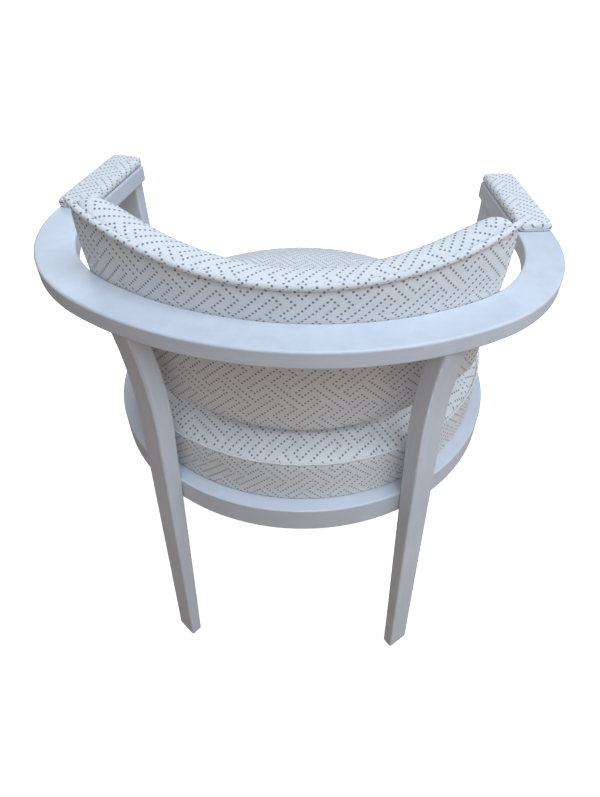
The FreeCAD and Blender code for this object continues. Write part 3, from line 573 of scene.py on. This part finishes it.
def puff(piece, held, cap):
    """Blow the cover up like a filled bag; held points stay and no point moves further than the cap."""
    group = piece.vertex_groups.new(name="held")
    group.add(held, 1.0, "REPLACE")
    cloth = piece.modifiers.new("puff", "CLOTH")
    cloth.settings.vertex_group_mass = "held"
    for label, value in COVER_STIFFNESS.items():
        setattr(cloth.settings, label, value)
    cloth.settings.use_pressure = True
    cloth.settings.uniform_pressure_force = FILL_PRESSURE
    cloth.settings.effector_weights.gravity = 0
    cloth.point_cache.frame_start = 1
    cloth.point_cache.frame_end = SIM_FRAMES
    for step in range(1, SIM_FRAMES + 1):
        scene.frame_set(step)
    blown = bpy.data.meshes.new_from_object(piece.evaluated_get(bpy.context.evaluated_depsgraph_get()))
    furthest = 0.0
    for vert, moved in zip(piece.data.vertices, blown.vertices):
        shift = moved.co - vert.co
        furthest = max(furthest, shift.length)
        if shift.length > cap:
            shift.length = cap
        vert.co += shift
    piece.modifiers.remove(cloth)
    piece.vertex_groups.remove(group)
    bpy.data.meshes.remove(blown)
    scene.frame_set(1)
    print(piece.name, "swelled", round(furthest * 1000, 1), "mm before the cap")


def dress(piece, node):
    """Smooth a finished cover and hand it to the frame in place of a node."""
    piece.data.shade_smooth()
    soft = piece.modifiers.new("soft", "SUBSURF")
    soft.levels = 1
    soft.render_levels = 1
    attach(piece, "root")
    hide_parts(node)


# %% [markdown]
# ## The seat
# The seat is a round boxed cushion: a crowned top panel sewn to an upright band, which is pulled down over
# the seat board. A spun profile would leave a pole in the middle, so the top starts as a square grid that is
# pressed into a disc, and the band is extruded down from its rim. The rim is the seam, and it stays in place
# while the simulation swells the cloth on both sides of it.

# %% Seat cushion
SEAT_GRID = 56
SEAT_SEAM_HEIGHT = 0.4555
SEAT_BAND_ROWS = 10
SEAT_BAND_BULGE = 0.0035
SEAT_SEAM_NIP = 0.0015
SEAT_START_SHRINK = 0.003
SEAT_FRET_ACROSS, SEAT_FRET_HEIGHT = 0.0369, 0.4407
SEAT_BAND_EASE = (0.97, 0.94)
SEAT_TOP_FRET = (0.0069, 0.0052)
SEAT_CROWN_POWER = 1 / 3
SEAT_SWELL_CAP = 0.006
SEAT_SIDE_BULGE = 0.005
BOARD_CLEARANCE = 0.0003
PUCKER_SCALE = 40
PUCKER_SHARE = 0.5
seat_low, seat_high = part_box("seat_cushion")
board_low, board_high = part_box("seat_board")
SEAT_MIDDLE = (seat_low + seat_high) / 2
SEAT_RADIUS = (seat_high.x - seat_low.x) / 2 - SEAT_SIDE_BULGE
CROWN_HEIGHT = seat_high.z - SEAT_SEAM_HEIGHT


def pressed(point):
    """Place in a round disc of a point of a square grid, and its distance from the middle."""
    x, y = point.x, point.y
    disc = Vector((x * math.sqrt(1 - y * y / 2), y * math.sqrt(1 - x * x / 2)))
    return disc, min(1.0, disc.length)


def seat_top():
    shape = bmesh.new()
    bmesh.ops.create_grid(shape, x_segments=SEAT_GRID, y_segments=SEAT_GRID, size=1.0)
    for vert in shape.verts:
        disc, rim = pressed(vert.co)
        rise = (CROWN_HEIGHT - SEAT_START_SHRINK) * (1 - rim ** 2) ** SEAT_CROWN_POWER
        vert.co = Vector((disc.x * SEAT_RADIUS + SEAT_MIDDLE.x, disc.y * SEAT_RADIUS + SEAT_MIDDLE.y,
                          SEAT_SEAM_HEIGHT + rise))
    return shape


def extrude_ring(shape, edges, radius, height):
    """Extrude a round rim to a new radius and height about the seat's axis."""
    made = bmesh.ops.extrude_edge_only(shape, edges=edges)["geom"]
    for vert in (item for item in made if isinstance(item, bmesh.types.BMVert)):
        out = Vector((vert.co.x - SEAT_MIDDLE.x, vert.co.y - SEAT_MIDDLE.y, 0)).normalized()
        vert.co = Vector((SEAT_MIDDLE.x, SEAT_MIDDLE.y, height)) + out * radius
    return [item for item in made if isinstance(item, bmesh.types.BMEdge)]


def seat_cushion():
    shape = seat_top()
    layer = shape.loops.layers.uv.new("cloth")
    top_faces = set(shape.faces)
    edges = [edge for edge in shape.edges if edge.is_boundary]
    rim = {vert.index for edge in edges for vert in edge.verts}
    band_height = SEAT_SEAM_HEIGHT - seat_low.z
    for row in range(1, SEAT_BAND_ROWS + 1):
        share = row / SEAT_BAND_ROWS
        swell = (SEAT_BAND_BULGE - SEAT_START_SHRINK) * math.sin(math.pi * share)
        edges = extrude_ring(shape, edges, SEAT_RADIUS + swell, SEAT_SEAM_HEIGHT - band_height * share)
    bottom = {vert for edge in edges for vert in edge.verts}
    hollow = (board_high.x - board_low.x) / 2 + BOARD_CLEARANCE
    edges = extrude_ring(shape, edges, hollow, seat_low.z)
    edges = extrude_ring(shape, edges, hollow, board_high.z + BOARD_CLEARANCE)
    bmesh.ops.holes_fill(shape, edges=edges, sides=0)
    shape.verts.index_update()
    for face in shape.faces:
        middle = face.calc_center_median()
        around = math.atan2(-(middle.x - SEAT_MIDDLE.x), middle.y - SEAT_MIDDLE.y)
        for loop in face.loops:
            out = loop.vert.co - SEAT_MIDDLE
            if face in top_faces:
                loop[layer].uv = (-out.x - SEAT_TOP_FRET[0], -out.y - SEAT_TOP_FRET[1])
            else:
                turn = math.atan2(-out.x, out.y)
                turn += 2 * math.pi * round((around - turn) / (2 * math.pi))
                loop[layer].uv = ((turn * SEAT_RADIUS - SEAT_FRET_ACROSS) / SEAT_BAND_EASE[0],
                                  (loop.vert.co.z - SEAT_FRET_HEIGHT) / SEAT_BAND_EASE[1])
    bmesh.ops.recalc_face_normals(shape, faces=shape.faces)
    held = list(rim) + [v.index for v in shape.verts if v in bottom or v.co.z < seat_low.z + 0.001]
    held += [v.index for v in shape.verts if any(len(f.verts) > 4 for f in v.link_faces)]
    piece = make_piece(shape, "seat_cushion_cover")
    puff(piece, sorted(set(held)), SEAT_SWELL_CAP)
    for index in rim:
        vert = piece.data.vertices[index]
        out = (vert.co - SEAT_MIDDLE).to_2d().normalized()
        pucker = 1 + PUCKER_SHARE * noise.noise(Vector((out.x * PUCKER_SCALE, out.y * PUCKER_SCALE, 0)))
        vert.co -= Vector((out.x, out.y, 0)) * SEAT_SEAM_NIP * pucker
    dress(piece, "seat_cushion")
    print("seat", len(piece.data.polygons), "faces")


seat_cushion()

# %% [markdown]
# ## The seat's seam
# Where the top panel meets the band, the seam allowance stands up as a thin puckered line. A small circle is
# spun about the seat's axis, and a noise moves its points in and out, so it gathers as sewn cloth does.

# %% Seat seam
SEAM_RADIUS = 0.0011
SEAM_STEPS = 300
SEAM_PUCKER = 0.0010
SEAM_GATHER_SCALE = 45
SEAM_LIFT_SCALE = 30
SEAM_LIFT_SEED = 7


def seat_seam():
    shape = bmesh.new()
    start = Matrix.Translation((SEAT_MIDDLE.x + SEAT_RADIUS, SEAT_MIDDLE.y, SEAT_SEAM_HEIGHT))
    start = start @ Matrix.Rotation(math.pi / 2, 4, "X")
    bmesh.ops.create_circle(shape, segments=10, radius=SEAM_RADIUS, matrix=start)
    bmesh.ops.spin(shape, geom=shape.edges, cent=SEAT_MIDDLE, axis=UP, angle=2 * math.pi, steps=SEAM_STEPS,
                   use_merge=True)
    bmesh.ops.remove_doubles(shape, verts=shape.verts, dist=SEAM_RADIUS / 100)
    for vert in shape.verts:
        out = (vert.co - SEAT_MIDDLE).to_2d().normalized()
        gather = noise.noise(Vector((out.x * SEAM_GATHER_SCALE, out.y * SEAM_GATHER_SCALE, 0)))
        lift = noise.noise(Vector((out.x * SEAM_LIFT_SCALE, out.y * SEAM_LIFT_SCALE, SEAM_LIFT_SEED)))
        vert.co += Vector((out.x * gather, out.y * gather, lift)) * SEAM_PUCKER
    bmesh.ops.recalc_face_normals(shape, faces=shape.faces)
    shape.loops.layers.uv.new("cloth")
    piece = make_piece(shape, "seat_seam")
    piece.data.shade_smooth()
    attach(piece, "root")
    print("seam", len(piece.data.polygons), "faces")


seat_seam()

# %% [markdown]
# ## The line of the back
# The crest rail bends in two radii: a wide arc behind, and a tighter one at each side. Everything in the
# back follows that line at its own inset and leans with the rake, so one function gives any point of it
# from a swing round the back, an inset and a height.

# %% Plan of the back
SIDE_CENTRE_ACROSS = 0.113
SIDE_RADIUS = 0.200
CREST_WIDTH = 0.046
BACK_RAKE = math.tan(math.radians(4.5))
RAKE_SHARE_ABOVE = 0.35
RAKE_ABOVE_CREST = BACK_RAKE * RAKE_SHARE_ABOVE
crest_low, crest_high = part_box("crest_back")
CREST_TOP = crest_high.z
BACK_CENTRE_GAP = 0.171
JOINT_SWING = math.atan2(SIDE_CENTRE_ACROSS, BACK_CENTRE_GAP)
BACK_RADIUS = SIDE_RADIUS + math.hypot(SIDE_CENTRE_ACROSS, BACK_CENTRE_GAP)
BACK_CENTRE = Vector((0, crest_high.y - BACK_RADIUS))
BACK_FRET_ACROSS = 0.0051
BACK_FRET_HEIGHT = 0.5458
BACK_BOTTOM, BOTTOM_DISH_RADIUS = 0.484, 0.500
BACK_TOP, TOP_DISH_RADIUS = 0.690, 0.700


def back_point(swing, inset, height):
    """Point of the back: swing from its middle, inset from the crest rail's inner edge, height."""
    below = CREST_TOP - height
    lean = below * (BACK_RAKE if below > 0 else RAKE_ABOVE_CREST)
    outward = Vector((math.sin(swing), math.cos(swing)))
    if abs(swing) <= JOINT_SWING:
        centre, radius = BACK_CENTRE, BACK_RADIUS
    else:
        centre = BACK_CENTRE + Vector((math.copysign(SIDE_CENTRE_ACROSS, swing), BACK_CENTRE_GAP))
        radius = SIDE_RADIUS
    plan = centre + outward * (radius - CREST_WIDTH - inset - lean)
    return Vector((plan.x, plan.y, height))


def back_run(swing):
    """Cloth length along the inner edge of the crest rail from a fret's middle, to the viewer's right."""
    wide = min(abs(swing), JOINT_SWING) * (BACK_RADIUS - CREST_WIDTH)
    tight = max(abs(swing) - JOINT_SWING, 0.0) * (SIDE_RADIUS - CREST_WIDTH)
    return BACK_FRET_ACROSS - math.copysign(wide + tight, swing)


def swings(limit, steps):
    return [limit * (2 * step / steps - 1) for step in range(steps + 1)]


def dished(swing, base, radius):
    """Height of an edge that rests at its base in the middle and rises on a wide arc to both sides."""
    across = back_point(swing, 0.0, CREST_TOP).x
    return base + radius - math.sqrt(radius ** 2 - across ** 2)


def low_edge(swing):
    return dished(swing, BACK_BOTTOM, BOTTOM_DISH_RADIUS)


def high_edge(swing):
    return dished(swing, BACK_TOP, TOP_DISH_RADIUS)


print("back arc", round(BACK_RADIUS, 4), "joint", round(math.degrees(JOINT_SWING), 2))

# %% [markdown]
# ## The inside back
# The pad of the back is a fat roll: flat behind where it lies on its shell, crowned on top, bulging in front,
# and thinner toward its ends. Its slices are superellipses cut off by the rear plane, which roll over like
# stuffed cloth. The top and bottom rear edges are sewn, so they are held while the simulation swells the
# rest.

# %% Back cushion
PAD_TIP_SWING = math.radians(47.2)
PAD_STATIONS = 84
PAD_THICK = 0.060
PAD_REAR_INSET = 0.0053
PAD_TAPER_SHARE = 0.44
PAD_END_SHARE = 0.12
PAD_END_DROP = 0.006
PAD_CREASE_DROP = 0.006
PAD_MIDDLE_SHARE = 0.4
PAD_TOP_POWER = 3.0
PAD_LOW_POWER = 6.0
PAD_RING_FRONT = 30
PAD_RING_REAR = 10
PAD_START_SHRINK = 0.003
PAD_SWELL_CAP = 0.005
PAD_SAMPLES = 120
PAD_SWEEP = 1.6
PAD_TAPER_POWER = 3
PAD_END_THIN_SHARE = 0.9


def pad_slice(thick, tall):
    """Front outline of a slice, as depth and height, from the top rear edge over the front to the bottom."""
    middle = thick * PAD_MIDDLE_SHARE
    reach = thick - middle
    cut = middle / reach
    line = []
    for step in range(PAD_SAMPLES + 1):
        angle = math.pi * (0.5 - step / PAD_SAMPLES) * PAD_SWEEP
        power = PAD_TOP_POWER if math.sin(angle) >= 0 else PAD_LOW_POWER
        depth = math.copysign(abs(math.cos(angle)) ** (2 / power), math.cos(angle))
        if depth < -cut:
            continue
        full = tall / 2 / (1 - cut ** power) ** (1 / power)
        line.append(Vector((middle + depth * reach,
                            math.copysign(abs(math.sin(angle)) ** (2 / power), math.sin(angle)) * full)))
    line[0] = Vector((0, tall / 2))
    line[-1] = Vector((0, -tall / 2))
    return evenly(line, PAD_RING_FRONT + 1)


def pad_ring(swing):
    away = abs(swing) / PAD_TIP_SWING
    end = max(0.0, (away - 1) / PAD_END_SHARE + 1)
    taper = 1 - PAD_TAPER_SHARE * away ** PAD_TAPER_POWER
    thick = (PAD_THICK - PAD_START_SHRINK) * taper * math.sqrt(1 - PAD_END_THIN_SHARE * end ** 2)
    drop = PAD_END_DROP * end ** 2
    low, high = low_edge(swing) + drop, high_edge(swing) - drop - PAD_CREASE_DROP
    middle, tall = (low + high) / 2, high - low
    front = [back_point(swing, PAD_REAR_INSET + at.x, middle + at.y) for at in pad_slice(thick, tall)]
    rear = [back_point(swing, PAD_REAR_INSET, low + tall * step / PAD_RING_REAR)
            for step in range(1, PAD_RING_REAR)]
    return front + rear


def back_cushion():
    stations = swings(PAD_TIP_SWING, PAD_STATIONS)
    rings = [pad_ring(swing) for swing in stations]
    around = [lengths(ring + ring[:1]) for ring in rings]
    piece = make_piece(loft(rings, [back_run(swing) for swing in stations], around), "back_cushion_cover")
    count = PAD_RING_FRONT + PAD_RING_REAR
    held = [i for i in range(len(piece.data.vertices)) if i % count == 0 or i % count >= PAD_RING_FRONT]
    held += list(range(count)) + list(range(len(piece.data.vertices) - count, len(piece.data.vertices)))
    puff(piece, sorted(set(held)), PAD_SWELL_CAP)
    dress(piece, "back_cushion")


back_cushion()

# %% [markdown]
# ## The outside back and its welt
# A thin padded panel closes the rear of the back, above and below the crest rail. Its top edge rolls over a
# sewn cord, the welt. The panel and the welt are lofts along the same line, and the fret runs on from one
# to the other.

# %% Outside back and welt
PANEL_END_SWING = math.radians(46.2)
PANEL_STATIONS = 96
PANEL_THICK = 0.005
PANEL_ROWS = 24
PANEL_SWELL = 0.0012
PANEL_EDGE = 0.0015
PANEL_CLEARANCE = 0.0002
TUCKED_CLOTH = 0.016
WELT_RADIUS = 0.0042
WELT_INSET = 0.0008
WELT_SINK = 0.001
WELT_SIDES = 14


def cloth_height(height):
    """Cloth coordinate up the back; some cloth is tucked away behind the crest rail."""
    share = min(1.0, max(0.0, (height - crest_low.z) / (CREST_TOP - crest_low.z)))
    return height - BACK_FRET_HEIGHT + TUCKED_CLOTH * share


def panel_ring(swing):
    low, high = low_edge(swing), high_edge(swing)
    rear, front = [], []
    for row in range(PANEL_ROWS + 1):
        height = low + (high - low) * row / PANEL_ROWS
        above = max(0.0, (height - CREST_TOP) / (high - CREST_TOP))
        swell = PANEL_SWELL * math.sin(math.pi * above)
        edge = PANEL_EDGE if row in (0, PANEL_ROWS) else 0.0
        rear.append(back_point(swing, PANEL_CLEARANCE + edge - swell, height))
        front.append(back_point(swing, PANEL_THICK - edge, height))
    return rear + front[::-1]


def outside_back():
    stations = swings(PANEL_END_SWING, PANEL_STATIONS)
    rings = [panel_ring(swing) for swing in stations]
    around = [[cloth_height(ring[0].z + length) for length in lengths(ring + ring[:1])] for ring in rings]
    piece = make_piece(loft(rings, [back_run(swing) for swing in stations], around), "outside_back_cover")
    dress(piece, "outside_back")


def back_welt():
    stations = swings(PANEL_END_SWING, PANEL_STATIONS)
    rings, around = [], []
    for swing in stations:
        middle = high_edge(swing) + WELT_RADIUS - WELT_SINK
        angles = [2 * math.pi * side / WELT_SIDES for side in range(WELT_SIDES + 1)]
        rings.append([back_point(swing, WELT_INSET - WELT_RADIUS * math.cos(angle),
                                 middle + WELT_RADIUS * math.sin(angle)) for angle in angles[:-1]])
        around.append([cloth_height(middle + WELT_RADIUS * angle) for angle in angles])
    piece = make_piece(loft(rings, [back_run(swing) for swing in stations], around), "back_welt_cover")
    dress(piece, "back_welt")


outside_back()
back_welt()

# %% [markdown]
# ## The arm pads
# Each arm carries a thin pad on a small board, with the cloth pulled down over its sides. It is a loft along
# the arm: an arched slice that is drawn in at both ends.

# %% Arm pads
ARM_TOE_IN = math.radians(9)
ARM_LENGTH = 0.154
ARM_PAD_INSET = 0.0005
ARM_PAD_END_INSET = 0.0
ARM_PAD_ROUND_SHARE = 0.05
ARM_PAD_DRAW_IN = 0.004
ARM_PAD_HEIGHT = 0.012
ARM_PAD_SLICE = 18
ARM_PAD_SAMPLES = 60
ARM_SIDE_POWER = 0.24
ARM_TOP_POWER = 0.42
ARM_END_DROP_SHARE = 0.6
ARM_END_STEPS = (0.0, 0.15, 0.45, 1.0)
ARM_STRAIGHT_STEPS = 10


def arm_place(side, out, along, height):
    centre = BACK_CENTRE + Vector((SIDE_CENTRE_ACROSS, BACK_CENTRE_GAP))
    x = centre.x + out * math.cos(ARM_TOE_IN) - along * math.sin(ARM_TOE_IN)
    y = centre.y - out * math.sin(ARM_TOE_IN) - along * math.cos(ARM_TOE_IN)
    return Vector((side * x, y, height))


def arm_slice(draw_in):
    """Arched outline across an arm: distance from its middle and height above the rail."""
    half = CREST_WIDTH / 2 - ARM_PAD_INSET - draw_in
    tall = ARM_PAD_HEIGHT - draw_in * ARM_END_DROP_SHARE
    line = []
    for step in range(ARM_PAD_SAMPLES + 1):
        angle = math.pi * step / ARM_PAD_SAMPLES
        line.append(Vector((math.copysign(abs(math.cos(angle)) ** ARM_SIDE_POWER, math.cos(angle)) * half,
                            abs(math.sin(angle)) ** ARM_TOP_POWER * tall)))
    return evenly(line, ARM_PAD_SLICE + 1)


def arm_pad(side, name, node):
    stations = []
    for step in ARM_END_STEPS:
        stations.append((step * ARM_PAD_ROUND_SHARE, (1 - math.sqrt(1 - (1 - step) ** 2)) * ARM_PAD_DRAW_IN))
    straight = 1 - 2 * ARM_PAD_ROUND_SHARE
    stations += [(ARM_PAD_ROUND_SHARE + straight * step / ARM_STRAIGHT_STEPS, 0.0)
                 for step in range(1, ARM_STRAIGHT_STEPS)]
    stations += [(1 - share, draw_in) for share, draw_in in stations[3::-1]]
    long = ARM_LENGTH - 2 * ARM_PAD_END_INSET
    rings = []
    for share, draw_in in stations:
        along = ARM_PAD_END_INSET + long * share
        rings.append([arm_place(side, SIDE_RADIUS - CREST_WIDTH / 2 + at.x, along, CREST_TOP + at.y)
                      for at in arm_slice(draw_in)])
    around = [lengths(ring + ring[:1]) for ring in rings]
    piece = make_piece(loft(rings, [long * share for share, _ in stations], around), name)
    dress(piece, node)


arm_pad(1, "arm_pad_left_cover", "arm_pad_left")
arm_pad(-1, "arm_pad_right_cover", "arm_pad_right")

# %% [markdown]
# ## The dust cover
# Black cloth closes the seat from below. It is cut round, pulled flat and stapled to the rail. The same
# pressed grid as on the seat makes it, with a slight sag and small waves between the staples. Of a staple
# only its flat back shows, so each is a short bar with bevelled edges.

# %% Dust cover and staples
COVER_GRID = 40
COVER_SAG = 0.004
COVER_WAVE = 0.0006
STAPLE_COUNT = 24
STAPLE_SIZE = Vector((0.010, 0.0012, 0.0008))
STAPLE_INSET = 0.010
STAPLE_BEVEL_SHARE = 0.4
COVER_EDGE_POWER = 6
cover_low, cover_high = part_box("dust_cover")
COVER_RADIUS = (cover_high.x - cover_low.x) / 2
COVER_MIDDLE = (cover_low + cover_high) / 2


def dust_cover():
    shape = bmesh.new()
    bmesh.ops.create_grid(shape, x_segments=COVER_GRID, y_segments=COVER_GRID, size=1.0)
    for vert in shape.verts:
        disc, rim = pressed(vert.co)
        wave = COVER_WAVE * rim ** COVER_EDGE_POWER * math.cos(STAPLE_COUNT * math.atan2(disc.y, disc.x))
        sag = COVER_SAG * (1 - rim ** 2) ** 2
        vert.co = Vector((COVER_MIDDLE.x + disc.x * COVER_RADIUS, COVER_MIDDLE.y + disc.y * COVER_RADIUS,
                          cover_high.z - sag - max(0.0, wave)))
    bmesh.ops.reverse_faces(shape, faces=shape.faces)
    mesh = bpy.data.meshes.new("dust_cover_sheet")
    shape.to_mesh(mesh)
    shape.free()
    mesh.materials.append(finishes["dust_cloth"])
    mesh.shade_smooth()
    cover = bpy.data.objects.new("dust_cover_sheet", mesh)
    scene.collection.objects.link(cover)
    wall = cover.modifiers.new("wall", "SOLIDIFY")
    wall.thickness = cover_high.z - cover_low.z
    wall.offset = 1.0
    return cover


def cover_staples():
    shape = bmesh.new()
    for count in range(STAPLE_COUNT):
        turn = 2 * math.pi * (count + 0.5) / STAPLE_COUNT
        reach = COVER_RADIUS - STAPLE_INSET
        x, y = COVER_MIDDLE.x + reach * math.cos(turn), COVER_MIDDLE.y + reach * math.sin(turn)
        place = Matrix.Translation((x, y, cover_low.z - STAPLE_SIZE.z / 2))
        place = place @ Matrix.Rotation(turn + math.pi / 2, 4, "Z") @ Matrix.Diagonal(STAPLE_SIZE).to_4x4()
        bmesh.ops.create_cube(shape, size=1.0, matrix=place)
    crowns = [edge for edge in shape.edges
              if abs(edge.verts[0].co.z - edge.verts[1].co.z) < STAPLE_SIZE.z / 2]
    bmesh.ops.bevel(shape, geom=crowns, offset=STAPLE_SIZE.z * STAPLE_BEVEL_SHARE, segments=2,
                    profile=0.5, affect="EDGES", material=-1)
    mesh = bpy.data.meshes.new("dust_cover_staples")
    shape.to_mesh(mesh)
    shape.free()
    mesh.materials.append(finishes["zinc"])
    staples = bpy.data.objects.new("dust_cover_staples", mesh)
    scene.collection.objects.link(staples)
    return staples


cover = dust_cover()
staples = cover_staples()
for piece, slot in ((cover, "dust_cloth"), (staples, "screw")):
    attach(piece, "root")
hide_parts("dust_cover")
print("dust cover", round(2 * COVER_RADIUS, 3), "m across,", STAPLE_COUNT, "staples")
